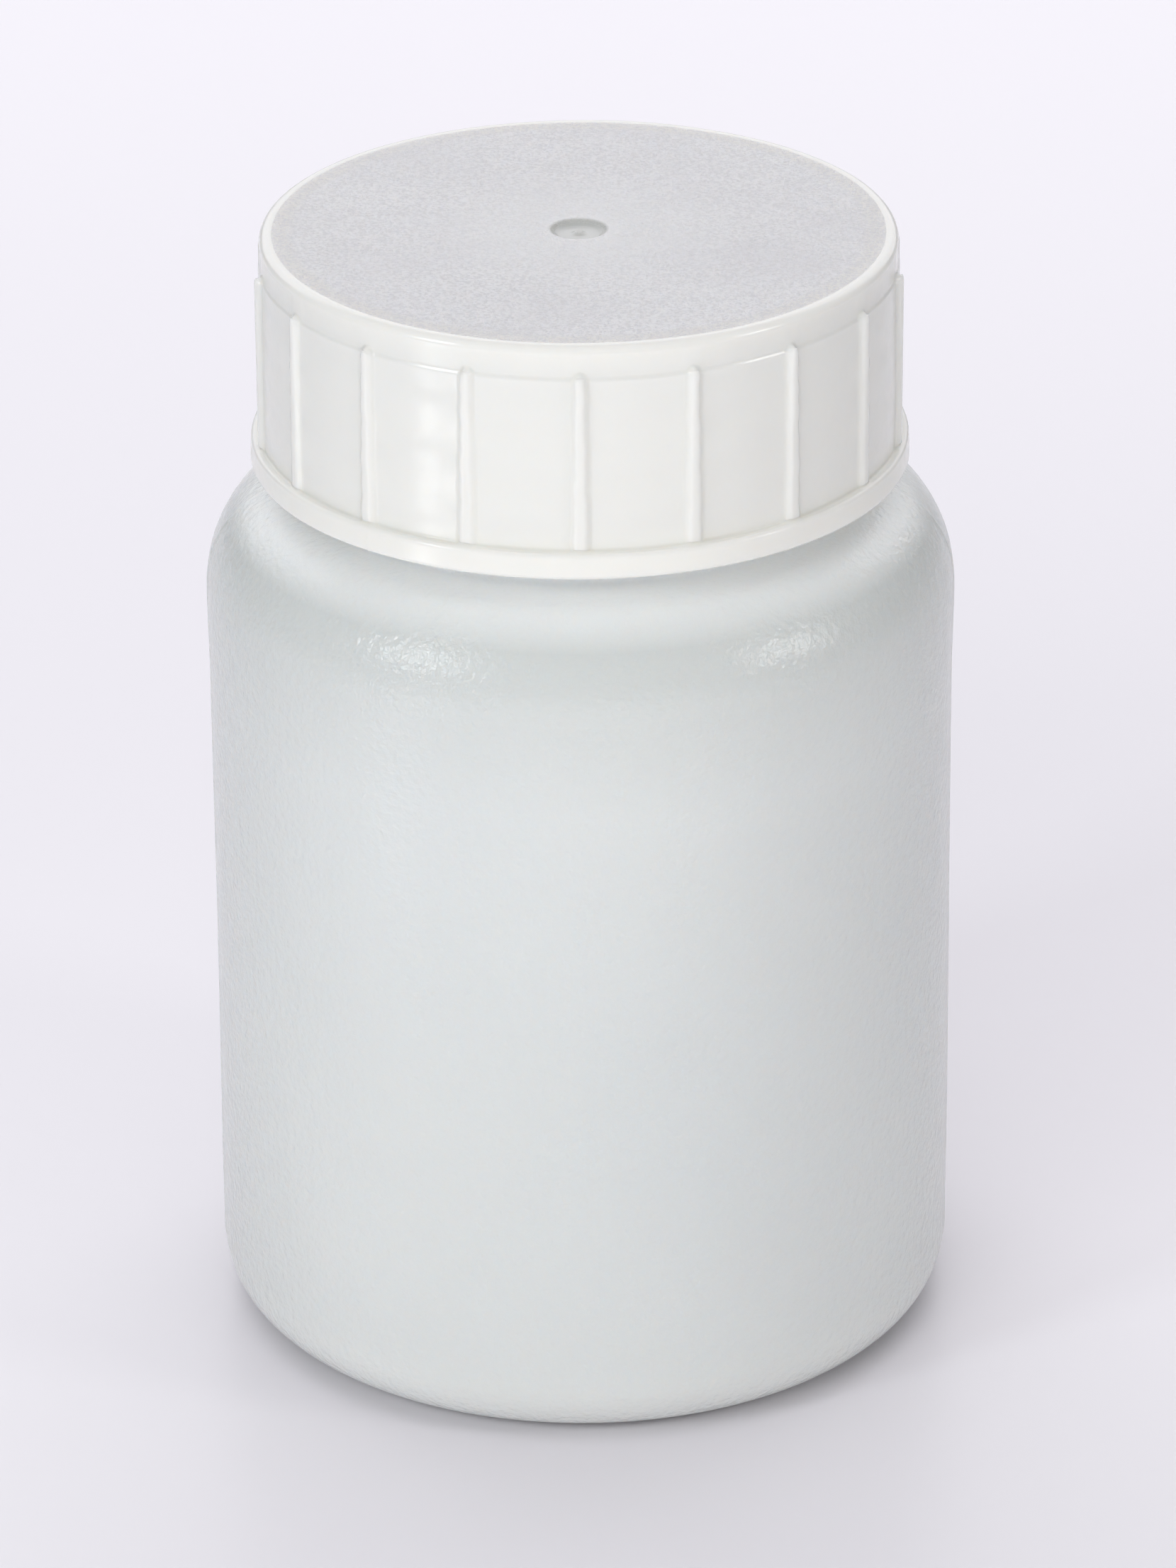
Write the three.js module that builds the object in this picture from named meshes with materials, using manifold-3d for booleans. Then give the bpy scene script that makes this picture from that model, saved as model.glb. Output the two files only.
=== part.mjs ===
// Wide-mouth plastic reagent bottle with a screw cap and a sealing liner.
// Millimetres, +Z up, origin at the middle of the base where the bottle stands.

import * as THREE from "three";
import { mergeVertices } from "three/addons/utils/BufferGeometryUtils.js";
import Module from "manifold-3d";

const wasm = await Module();
wasm.setup();

// Faces round every turned piece.
const SIDES = 54;

// Bottle: a blown body with a concave base, a shallow label panel and a round shoulder.
const BODY_RADIUS = 34.05;
const WALL = 1.3;
const HEEL_ROUND = 6;
const BASE_THICKNESS = 1.8;
const BASE_HOLLOW_DEPTH = 1.5;
const BASE_HOLLOW_RUN = 3;
const STAND_RING_INNER_RADIUS = 26;
const PANEL_DEPTH = 0.12;
const PANEL_BOTTOM = 18;
const PANEL_TOP = 64;
const PANEL_EASE = 4;
const SHOULDER_ROUND = 10;
const SHOULDER_START = 72.2;

// Neck and its outside thread.
const NECK_RADIUS = 25.6;
const BORE_RADIUS = 24.1;
const RIM_HEIGHT = 102.2;
const RIM_CHAMFER = 0.3;

// Thread shared by the neck and the cap: a right-hand helix with a trapezoid section.
const PITCH = 4.8;
const THREAD_DEPTH = 1.25;
const THREAD_ROOT_WIDTH = 2.2;
const THREAD_CREST_WIDTH = 1.0;
const THREAD_SEAT = 0.2;
const THREAD_FADE_TURNS = 0.12;
const THREAD_STEPS_PER_TURN = 48;
const CAP_THREAD_BOTTOM = 86.9;
const CAP_THREAD_START_DEG = -127;
const CAP_THREAD_TURNS = 2.4;
const NECK_THREAD_TURNS = 2.3;
const NECK_THREAD_LEAD = 1.8;

// Cap: ribbed skirt, thicker ring at its open end, flat top with a small gate dimple.
const CAP_TOP = 105.6;
const CAP_BOTTOM = 84.2;
const CAP_TOP_THICKNESS = 1.8;
const CAP_BORE_RADIUS = 27.25;
const CAP_BAND_RADIUS = 28.6;
const CAP_EDGE_ROUND = 0.8;
const CAP_STEP_HEIGHT = 102.7;
const CAP_STEP = 0.15;
const CAP_WALL_RADIUS_LOW = 28.95;
const RING_RADIUS = 29.8;
const RING_TOP = 86.6;
const RING_CHAMFER = 0.3;
const GATE_RADIUS = 2.65;
const GATE_DEPTH = 0.5;
const RIB_COUNT = 18;
const RIB_TIP_RADIUS = 29.3;
const RIB_ROOT_RADIUS = 28.1;
const RIB_TOP_WIDTH = 1.15;
const RIB_LOW_WIDTH = 1.7;
const RIB_TOP = 103.3;

// Liner: a soft disc that the cap presses on the rim.
const LINER_RADIUS = 26.8;
const LINER_THICKNESS = 1.1;
const LINER_GAP = 0.25;

const UP = new THREE.Vector3(0, 0, 1);

// Points on a circle arc from one angle to another, in degrees, both ends included.
function arc(centreR, centreZ, radius, fromDeg, toDeg, steps) {
  const points = [];
  for (let i = 0; i <= steps; i += 1) {
    const angle = THREE.MathUtils.degToRad(fromDeg + ((toDeg - fromDeg) * i) / steps);
    points.push([centreR + radius * Math.cos(angle), centreZ + radius * Math.sin(angle)]);
  }
  return points;
}

// A profile of [radius, height] pairs turned about the Z axis.
function turned(profile) {
  const points = profile.map(([r, z]) => new THREE.Vector2(r, z));
  return new THREE.LatheGeometry(points, SIDES).rotateX(Math.PI / 2);
}

// Closed geometry to a manifold-3d solid.
function toSolid(geometry) {
  const bare = geometry.clone();
  bare.deleteAttribute("normal");
  bare.deleteAttribute("uv");
  const merged = mergeVertices(bare, 1e-4);
  const vertProperties = new Float32Array(merged.attributes.position.array);
  const triVerts = new Uint32Array(merged.index.array);
  return new wasm.Manifold(new wasm.Mesh({ numProp: 3, vertProperties, triVerts }));
}

// manifold-3d solid back to a geometry.
function toGeometry(solid) {
  const mesh = solid.getMesh();
  const geometry = new THREE.BufferGeometry();
  geometry.setAttribute("position", new THREE.BufferAttribute(mesh.vertProperties, 3));
  geometry.setIndex(new THREE.BufferAttribute(mesh.triVerts, 1));
  geometry.computeVertexNormals();
  return geometry;
}

// Helix about Z. Its radius is shifted by fade at both ends, so the thread sinks into its wall.
class HelixPath extends THREE.Curve {
  constructor(radius, startDeg, startZ, turns, fade) {
    super();
    Object.assign(this, { radius, startDeg, startZ, turns, fade });
  }

  angle(t) {
    return THREE.MathUtils.degToRad(this.startDeg) + 2 * Math.PI * this.turns * t;
  }

  getPoint(t, target = new THREE.Vector3()) {
    const toEnd = Math.min(t, 1 - t) * this.turns;
    const sunk = this.fade * (1 - THREE.MathUtils.smoothstep(toEnd, 0, THREAD_FADE_TURNS));
    const r = this.radius + sunk;
    const a = this.angle(t);
    return target.set(r * Math.cos(a), r * Math.sin(a), this.startZ + PITCH * this.turns * t);
  }

  getPointAt(t, target) {
    return this.getPoint(t, target);
  }

  // The section keeps its first axis radial and its second axis vertical along the whole helix.
  computeFrenetFrames(segments) {
    const frames = { tangents: [], normals: [], binormals: [] };
    for (let i = 0; i <= segments; i += 1) {
      const a = this.angle(i / segments);
      frames.tangents.push(new THREE.Vector3(-Math.sin(a), Math.cos(a), 0));
      frames.normals.push(new THREE.Vector3(Math.cos(a), Math.sin(a), 0));
      frames.binormals.push(UP.clone().negate());
    }
    return frames;
  }
}

// Trapezoid section, root on the wall and crest away from it. side is 1 outward or -1 inward.
function threadSection(side) {
  const root = THREAD_ROOT_WIDTH / 2;
  const crest = THREAD_CREST_WIDTH / 2;
  const flare = ((root - crest) * THREAD_SEAT) / THREAD_DEPTH;
  const corners = [
    [-THREAD_SEAT * side, -root - flare],
    [THREAD_DEPTH * side, -crest],
    [THREAD_DEPTH * side, crest],
    [-THREAD_SEAT * side, root + flare],
  ];
  return new THREE.Shape(corners.map(([x, y]) => new THREE.Vector2(x, y)));
}

function thread(wallRadius, side, startDeg, startZ, turns) {
  const path = new HelixPath(wallRadius, startDeg, startZ, turns, -side * THREAD_DEPTH);
  const steps = Math.round(turns * THREAD_STEPS_PER_TURN);
  const options = { steps, bevelEnabled: false, extrudePath: path };
  return toSolid(new THREE.ExtrudeGeometry(threadSection(side), options));
}

// Outside of the body, from the standing ring up to the end of the shoulder round.
function bodyOutside() {
  const panelRadius = BODY_RADIUS - PANEL_DEPTH;
  const shoulderCentre = BODY_RADIUS - SHOULDER_ROUND;
  const neckAngle = THREE.MathUtils.radToDeg(Math.acos((NECK_RADIUS - shoulderCentre) / SHOULDER_ROUND));
  return [
    [STAND_RING_INNER_RADIUS, 0],
    ...arc(BODY_RADIUS - HEEL_ROUND, HEEL_ROUND, HEEL_ROUND, -90, 0, 6),
    [BODY_RADIUS, PANEL_BOTTOM - PANEL_EASE],
    [panelRadius, PANEL_BOTTOM],
    [panelRadius, PANEL_TOP],
    [BODY_RADIUS, PANEL_TOP + PANEL_EASE],
    ...arc(shoulderCentre, SHOULDER_START, SHOULDER_ROUND, 0, neckAngle, 7),
  ];
}

// Inside of the bottle, from the bore down to the middle of the floor.
function bodyInside() {
  const innerRadius = BODY_RADIUS - PANEL_DEPTH - WALL;
  const innerHeel = HEEL_ROUND - WALL;
  const floor = BASE_HOLLOW_DEPTH + BASE_THICKNESS;
  const slopeStart = STAND_RING_INNER_RADIUS - WALL / 2;
  const innerShoulder = SHOULDER_ROUND - WALL;
  const centre = innerRadius - innerShoulder;
  const boreAngle = THREE.MathUtils.radToDeg(Math.acos((BORE_RADIUS - centre) / innerShoulder));
  return [
    [BORE_RADIUS, RIM_HEIGHT - RIM_CHAMFER],
    ...arc(centre, SHOULDER_START, innerShoulder, boreAngle, 0, 6),
    ...arc(innerRadius - innerHeel, BASE_THICKNESS + innerHeel, innerHeel, 0, -90, 5),
    [slopeStart, BASE_THICKNESS],
    [slopeStart - BASE_HOLLOW_RUN, floor],
    [0, floor],
  ];
}

function bottleBody() {
  const shell = turned([
    [0, BASE_HOLLOW_DEPTH],
    [STAND_RING_INNER_RADIUS - BASE_HOLLOW_RUN, BASE_HOLLOW_DEPTH],
    ...bodyOutside(),
    [NECK_RADIUS, RIM_HEIGHT - RIM_CHAMFER],
    [NECK_RADIUS - RIM_CHAMFER, RIM_HEIGHT],
    [BORE_RADIUS + RIM_CHAMFER, RIM_HEIGHT],
    ...bodyInside(),
  ]);
  const neckThreadBottom = CAP_THREAD_BOTTOM + NECK_THREAD_LEAD;
  const helix = thread(NECK_RADIUS, 1, CAP_THREAD_START_DEG, neckThreadBottom, NECK_THREAD_TURNS);
  return toGeometry(toSolid(shell).add(helix));
}

// One grip rib: a tapering bar with a round upper end, standing out from the skirt.
function rib(index) {
  const low = RING_TOP - RING_CHAMFER;
  const endCentre = RIB_TOP - RIB_TOP_WIDTH / 2;
  const outline = new THREE.Shape();
  outline.moveTo(-RIB_LOW_WIDTH / 2, low);
  outline.lineTo(RIB_LOW_WIDTH / 2, low);
  outline.lineTo(RIB_TOP_WIDTH / 2, endCentre);
  outline.absarc(0, endCentre, RIB_TOP_WIDTH / 2, 0, Math.PI, false);
  outline.closePath();
  const depth = RIB_TIP_RADIUS - RIB_ROOT_RADIUS;
  const bar = new THREE.ExtrudeGeometry(outline, { depth, bevelEnabled: false, curveSegments: 4 });
  // The outline's height turns up to Z and the extrusion then points to -Y.
  bar.rotateX(Math.PI / 2).translate(0, -RIB_ROOT_RADIUS, 0);
  return toSolid(bar.rotateZ((index * 2 * Math.PI) / RIB_COUNT));
}

function screwCap() {
  const shell = turned([
    [0, CAP_TOP - CAP_TOP_THICKNESS],
    [CAP_BORE_RADIUS, CAP_TOP - CAP_TOP_THICKNESS],
    [CAP_BORE_RADIUS, CAP_BOTTOM + RING_CHAMFER],
    [CAP_BORE_RADIUS + RING_CHAMFER, CAP_BOTTOM],
    [RING_RADIUS - RING_CHAMFER, CAP_BOTTOM],
    [RING_RADIUS, CAP_BOTTOM + RING_CHAMFER],
    [RING_RADIUS, RING_TOP - RING_CHAMFER],
    [CAP_WALL_RADIUS_LOW, RING_TOP],
    [CAP_BAND_RADIUS + CAP_STEP, CAP_STEP_HEIGHT],
    [CAP_BAND_RADIUS, CAP_STEP_HEIGHT + CAP_STEP],
    ...arc(CAP_BAND_RADIUS - CAP_EDGE_ROUND, CAP_TOP - CAP_EDGE_ROUND, CAP_EDGE_ROUND, 0, 90, 3),
    [GATE_RADIUS, CAP_TOP],
    [GATE_RADIUS, CAP_TOP - GATE_DEPTH],
    [0, CAP_TOP - GATE_DEPTH],
  ]);
  let cap = toSolid(shell);
  for (let i = 0; i < RIB_COUNT; i += 1) cap = cap.add(rib(i));
  const helix = thread(CAP_BORE_RADIUS, -1, CAP_THREAD_START_DEG, CAP_THREAD_BOTTOM, CAP_THREAD_TURNS);
  return toGeometry(cap.add(helix));
}

function capLiner() {
  const bottom = RIM_HEIGHT + LINER_GAP;
  return turned([
    [0, bottom],
    [LINER_RADIUS, bottom],
    [LINER_RADIUS, bottom + LINER_THICKNESS],
    [0, bottom + LINER_THICKNESS],
  ]);
}

function named(name, geometry, colour, roughness) {
  const material = new THREE.MeshStandardMaterial({ color: colour, roughness, metalness: 0 });
  const mesh = new THREE.Mesh(geometry, material);
  mesh.name = name;
  return mesh;
}

const bottle = new THREE.Group();
bottle.add(named("bottle_body", bottleBody(), 0xd9dcdb, 0.45));

const closure = new THREE.Group();
closure.add(named("screw_cap", screwCap(), 0xeeeeeb, 0.3));
closure.add(named("cap_liner", capLiner(), 0xf4f4f0, 0.8));
bottle.add(closure);

export default bottle;
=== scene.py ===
"""Wide-mouth plastic reagent bottle with a ribbed screw cap and a sealing liner.

Each piece is one surface turned about the Z axis. A profile of (radius, height) rows is swept
round a list of column angles, and a relief height then moves each point along the profile's own
normal: threads, ribs, parting lines and the gate are all reliefs. Sizes are in metres.
"""

import math

import bpy
import numpy as np
from bpy.props import FloatProperty, FloatVectorProperty, IntProperty, PointerProperty
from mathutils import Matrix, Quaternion, Vector


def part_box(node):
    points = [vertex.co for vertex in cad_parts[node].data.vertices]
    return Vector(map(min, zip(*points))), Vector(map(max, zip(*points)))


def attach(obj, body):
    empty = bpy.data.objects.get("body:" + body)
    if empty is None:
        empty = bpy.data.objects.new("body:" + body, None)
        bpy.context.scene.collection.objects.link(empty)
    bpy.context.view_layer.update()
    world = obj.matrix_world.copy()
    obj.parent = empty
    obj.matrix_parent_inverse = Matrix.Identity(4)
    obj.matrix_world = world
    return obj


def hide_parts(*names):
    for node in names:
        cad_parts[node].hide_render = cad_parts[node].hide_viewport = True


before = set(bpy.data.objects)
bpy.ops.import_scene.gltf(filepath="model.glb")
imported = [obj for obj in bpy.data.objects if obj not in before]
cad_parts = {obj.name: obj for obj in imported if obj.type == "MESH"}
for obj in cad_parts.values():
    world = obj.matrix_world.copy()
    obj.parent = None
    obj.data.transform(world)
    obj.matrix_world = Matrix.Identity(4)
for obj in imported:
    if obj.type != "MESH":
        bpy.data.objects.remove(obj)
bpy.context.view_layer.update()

bl_info = {
    "name": "Reagent bottle",
    "version": (1, 0, 0),
    "blender": (4, 5, 0),
    "location": "View3D > Sidebar > Bottle",
    "description": "Builds a blow-moulded reagent bottle, its ribbed screw cap, the liner and a studio",
    "category": "Object",
}

MM = 0.001
BODY_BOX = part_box("bottle_body")
CAP_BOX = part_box("screw_cap")
LINER_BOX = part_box("cap_liner")

# Spacing of the rows of each surface in metres, by zone.
BOTTLE_ROWS = {
    "inside": 0.0030,
    "side": 0.0011,
    "heel": 0.0005,
    "shoulder": 0.0006,
    "neck": 0.0002,
    "rim": 0.00015,
}
CAP_ROWS = {
    "inside": 0.0018,
    "thread": 0.00024,
    "top": 0.0009,
    "gate": 0.00012,
    "edge": 0.00014,
    "skirt": 0.0004,
    "ring": 0.00016,
}
LINER_ROWS = {"face": 0.0008, "edge": 0.0001}
# Corner softness and step of the fine outline that soften makes, in metres.
BOTTLE_CORNER = (0.00035, 0.00008)
CAP_CORNER = (0.00007, 0.00003)
LINER_CORNER = (0.0001, 0.00004)
# Weld line across the hollow under the base: width, half length, its fading end and height.
WELD_WIDTH = 0.0006
WELD_ENDS = (0.014, 0.018)
WELD_HEIGHT = 0.0004
# Small steps of the cap's moulding: its chamfers, and the finest step.
CHAMFER = 0.0003
FINE = 0.0001
# The nub that the gate leaves: its height, the radius and height of its shoulder, and its foot.
NUB = 0.00025
NUB_SHOULDER = (0.0004, 0.00022)
NUB_FOOT = 0.0007
# The gate's slope, the rise of the land round it, and the grooves round the land and the disc.
GATE_SLOPE = 0.00015
LAND_RISE = 0.00002
LAND_GROOVE = (0.00012, 0.00006)
DISC_GROOVE = 0.00004
# Angle of the first rib, the witness line down the ring, and the top's slight unevenness.
FRONT = -math.pi / 2
WITNESS_ANGLE = math.radians(-128.7)
WITNESS_HEIGHT = 0.00005
TOP_SWELL = 0.000015
# Ring that the bottle's rim presses into the liner: its depth, and the width of its edges.
RIM_PRINT = 0.00008
RIM_PRINT_EDGE = 0.0006
# Heights from the neck's root, between which the bottle's tone changes: painted shade over the shoulder's
# curve, then a painted light up to the root, and back to plain on the neck.
CURVE_SHADE = (-0.019, -0.007)
ROOT_LIGHT = (-0.0040, -0.0004)
NECK_TONE = (0.0045, 0.0015)
# Widths from the edge of the grained disc between which the painted sheen of the top gives way to its
# margin's warmer tone.
MARGIN_SHEEN_FADE = (0.0021, 0.0013)
# Noise scales per metre, and the stretch that draws the die lines down the bottle.
SPECK_CELLS = 160.0
GRAIN_SCALE = 3300.0
DIE_LINES = 900.0
DRAWN_DOWN = (1.0, 1.0, 0.04)


def length(name, description, default):
    """A size in metres."""
    kind = {"unit": "LENGTH", "subtype": "DISTANCE", "precision": 5}
    return FloatProperty(name=name, description=description, default=default, min=0.0, **kind)


def colour(name, description, default):
    """A linear colour."""
    kind = {"size": 3, "min": 0.0, "max": 1.0, "subtype": "COLOR"}
    return FloatVectorProperty(name=name, description=description, default=default, **kind)


def number(name, description, default):
    """A plain number."""
    return FloatProperty(name=name, description=description, default=default, min=0.0)


def angle(name, description, degrees):
    """An angle, given in degrees."""
    return FloatProperty(name=name, description=description, default=math.radians(degrees), unit="ROTATION")


def point(name, description, default):
    """A point in metres."""
    return FloatVectorProperty(name=name, description=description, default=default, unit="LENGTH")


class ThreadSizes(bpy.types.PropertyGroup):
    """The helix that the neck and the cap share."""

    pitch: length("Pitch", "Rise of the thread in one turn", 4.8 * MM)
    depth: length("Depth", "How far the thread stands from its wall", 1.25 * MM)
    root: length("Root width", "Width of the thread at its wall", 2.2 * MM)
    crest: length("Crest width", "Width of the thread at its crest", 1.0 * MM)
    bottom: length("Cap thread bottom", "Height where the cap's thread starts", 86.9 * MM)
    start: angle("Start", "Angle where both threads start", -127)
    cap_turns: number("Cap turns", "Turns of thread in the cap", 2.4)
    neck_turns: number("Neck turns", "Turns of thread on the neck", 2.3)
    lead: length("Lead", "Height of the neck's thread over the cap's", 1.8 * MM)
    fade: number("Fade", "Part of a turn in which the thread rises at its ends", 0.12)


class BottleSizes(bpy.types.PropertyGroup):
    """The blown bottle."""

    radius: length("Radius", "Outside radius of the body", (BODY_BOX[1][0] - BODY_BOX[0][0]) / 2)
    wall: length("Wall", "Thickness of the wall", 1.3 * MM)
    heel: length("Heel round", "Radius between the side and the base", 6.0 * MM)
    floor: length("Floor", "Thickness of the floor", 1.8 * MM)
    hollow: length("Base hollow", "Height of the hollow under the base", 1.5 * MM)
    hollow_run: length("Hollow run", "Width of the slope up to the hollow", 3.0 * MM)
    stand: length("Standing ring", "Inside radius of the ring that it stands on", 26.0 * MM)
    panel_depth: length("Panel depth", "How far the label panel is set in", 0.12 * MM)
    panel_bottom: length("Panel bottom", "Height of the lower edge of the label panel", 18.0 * MM)
    panel_top: length("Panel top", "Height of the upper edge of the label panel", 64.0 * MM)
    panel_ease: length("Panel ease", "Height over which the panel's edge runs out", 4.0 * MM)
    shoulder: length("Shoulder round", "Radius of the shoulder", 10.0 * MM)
    shoulder_start: length("Shoulder start", "Height where the side turns into the shoulder", 72.2 * MM)
    neck: length("Neck radius", "Outside radius of the neck", 25.6 * MM)
    bore: length("Bore radius", "Radius of the mouth", 24.1 * MM)
    rim: length("Rim height", "Height of the rim", float(BODY_BOX[1][2]))
    seam: length("Parting line", "Height of the parting line over the wall", 0.07 * MM)
    seam_width: length("Parting line width", "Width of the parting line", 0.3 * MM)
    seam_right: angle("Parting line, right", "Angle of one parting line", -4)
    seam_left: angle("Parting line, left", "Angle of the other parting line", -177)
    wave: length("Waviness", "How far the blown wall wanders from a true cylinder", 0.05 * MM)
    columns: IntProperty(name="Columns", description="Points round the bottle", default=236, min=24)


class CapSizes(bpy.types.PropertyGroup):
    """The moulded screw cap."""

    top: length("Top", "Height of the top face", float(CAP_BOX[1][2]))
    bottom: length("Bottom", "Height of the open end", float(CAP_BOX[0][2]))
    thickness: length("Top thickness", "Thickness of the top", 1.8 * MM)
    bore: length("Bore radius", "Inside radius of the skirt", 27.25 * MM)
    band: length("Band radius", "Radius of the smooth band above the step", 28.6 * MM)
    edge: length("Edge round", "Radius of the round top edge", 0.8 * MM)
    step_height: length("Step height", "Height of the step under the band", 102.55 * MM)
    step: length("Step", "How far the skirt stands out under the band", 0.15 * MM)
    low: length("Skirt foot radius", "Radius of the skirt just over the ring", 28.95 * MM)
    ring: length("Ring radius", "Radius of the ring at the open end", 29.8 * MM)
    ring_top: length("Ring top", "Height of the top of the ring", 86.6 * MM)
    gate: length("Gate radius", "Radius of the gate recess in the top", 2.65 * MM)
    gate_depth: length("Gate depth", "Depth of the gate recess", 0.5 * MM)
    gate_land: length("Gate land", "Width of the smooth raised land round the gate", 0.95 * MM)
    grain: length("Grained disc", "Radius of the grained disc on the top", 27.5 * MM)
    ribs: IntProperty(name="Ribs", description="Ribs round the skirt", default=18, min=3)
    rib_tip: length("Rib tip radius", "Radius of the ribs' tips", 29.3 * MM)
    rib_top: length("Rib top", "Height of the ribs' round ends", 103.3 * MM)
    rib_slope: length("Rib end slope", "Height over which a rib's upper end slopes away", 1.1 * MM)
    rib_narrow: length("Rib width, top", "Width of a rib at its upper end", 1.15 * MM)
    rib_wide: length("Rib width, foot", "Width of a rib at the ring", 1.7 * MM)
    sink: length("Sink marks", "Depth of the sink marks that follow the inside thread", 0.08 * MM)


class LinerSizes(bpy.types.PropertyGroup):
    """The soft disc between the cap and the rim."""

    radius: length("Radius", "Radius of the disc", (LINER_BOX[1][0] - LINER_BOX[0][0]) / 2)
    bottom: length("Bottom", "Height of the lower face", float(LINER_BOX[0][2]))
    top: length("Top", "Height of the upper face", float(LINER_BOX[1][2]))
    columns: IntProperty(name="Columns", description="Points round the disc", default=180, min=24)


class Finish(bpy.types.PropertyGroup):
    """Colours of the plastics, some of them with painted light and shade."""

    body: colour("Bottle", "Natural polyethylene where the wall is thin", (0.815, 0.83, 0.80))
    # Painted shade: the shoulder's curve is darkened to stand for the shade that falls there.
    shoulder_shade: colour("Shoulder", "Natural polyethylene on the shoulder", (0.70, 0.725, 0.71))
    # Painted light: the root of the neck is paled to lift the shadow under the cap's ring.
    neck: colour("Neck", "Natural polyethylene where the wall is thick", (0.97, 0.975, 0.95))
    cap: colour("Cap", "White polypropylene", (0.853, 0.853, 0.815))
    # Painted sheen: the grained top is brighter and lilac, standing for the backdrop's reflection.
    cap_top_sheen: colour("Cap top", "The grained top of the cap", (0.975, 0.965, 0.985))
    # The margin's warmer tone is where the painted sheen of the top gives way.
    cap_edge: colour("Cap top edge", "The margin of the cap's grained top", (0.90, 0.885, 0.86))
    # Painted shade: the floor of the gate recess is darkened.
    gate: colour("Gate", "The floor of the gate recess", (0.60, 0.61, 0.59))
    liner: colour("Liner", "Soft polyethylene", (0.86, 0.86, 0.84))
    speck: colour("Speck", "Brown specks in the plastics", (0.22, 0.16, 0.11))
    bottle_milk: length("Bottle milkiness", "How far light spreads inside the bottle's plastic", 3.0 * MM)
    cap_milk: length("Cap milkiness", "How far light spreads inside the cap's plastic", 2.0 * MM)
    liner_milk: length("Liner milkiness", "How far light spreads inside the liner's plastic", 1.0 * MM)
    # Painted glow: an emission on the neck's root that lifts the shadow under the cap, not a light of the
    # plastic.
    root_glow: number("Root glow", "Light that the thick root of the neck carries under the cap", 0.1)


class StageSizes(bpy.types.PropertyGroup):
    """Camera, lights and floor."""

    floor: colour("Floor", "Pale table", (0.815, 0.80, 0.84))
    floor_half: length("Floor half width", "Half the width of the square floor", 15.0)
    world: colour("World", "Light from all round", (0.86, 0.85, 0.92))
    world_power: number("World strength", "Strength of the light from all round", 0.04)
    lens: FloatProperty(
        name="Lens", description="Focal length on a 36 mm sensor", default=176.71, unit="CAMERA"
    )
    camera: point("Camera", "Place of the camera", (0.0, -0.64348, 0.35203))
    target: point("Target", "Point in the middle of the view", (0.000537, 0.0, 0.050815))
    roll: angle("Roll", "Turn of the camera about its view", -0.341)


def line(start, end, count):
    """count rows from start towards end, without the end itself."""
    return np.linspace(start, end, count, endpoint=False)


def arc(centre, radius, first, last, count=24):
    """Rows on a circle about centre, from angle first towards last in degrees, without the last."""
    turn = np.radians(np.linspace(first, last, count, endpoint=False))
    return np.column_stack((centre[0] + radius * np.cos(turn), centre[1] + radius * np.sin(turn)))


def ease(value, low, high):
    """Smooth step: 0 below low and 1 above high, with 3t^2 - 2t^3 in between."""
    t = np.clip((value - low) / (high - low), 0.0, 1.0)
    return t * t * (3.0 - 2.0 * t)


def soften(points, blur, step):
    """Resamples an outline every step and blurs it along its length, which rounds every corner.

    The blur is a Gaussian of standard deviation blur. The outline is mirrored past both of its
    ends on the axis first, so the ends stay there.
    """
    run = np.concatenate(([0.0], np.cumsum(np.linalg.norm(np.diff(points, axis=0), axis=1))))
    keep = np.concatenate(([True], np.diff(run) > 1e-9))
    even = np.linspace(0.0, run[-1], int(run[-1] / step))
    fine = np.column_stack([np.interp(even, run[keep], points[keep, k]) for k in (0, 1)])
    reach = int(4 * blur / step)
    kernel = np.exp(-0.5 * (np.arange(-reach, reach + 1) * step / blur) ** 2)
    flip = np.array((-1.0, 1.0))
    padded = np.concatenate((fine[reach:0:-1] * flip, fine, fine[-2 : -reach - 2 : -1] * flip))
    return np.column_stack([np.convolve(padded[:, k], kernel / kernel.sum(), mode="valid") for k in (0, 1)])


def thin_out(fine, spacing):
    """Keeps rows of a fine outline so that neighbours are about spacing apart, one value for each row."""
    gap = np.linalg.norm(np.diff(fine, axis=0), axis=1)
    count = np.concatenate(([0.0], np.cumsum(gap / spacing[1:])))
    wanted = np.linspace(0.0, count[-1], int(count[-1]) + 1)
    return fine[np.unique(np.searchsorted(count, wanted).clip(0, len(fine) - 1))]


def normals_of(rows):
    """Unit normals of an outline, on the left of its direction."""
    tangent = np.gradient(rows, axis=0)
    tangent /= np.linalg.norm(tangent, axis=1)[:, None]
    return np.column_stack((-tangent[:, 1], tangent[:, 0]))


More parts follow.
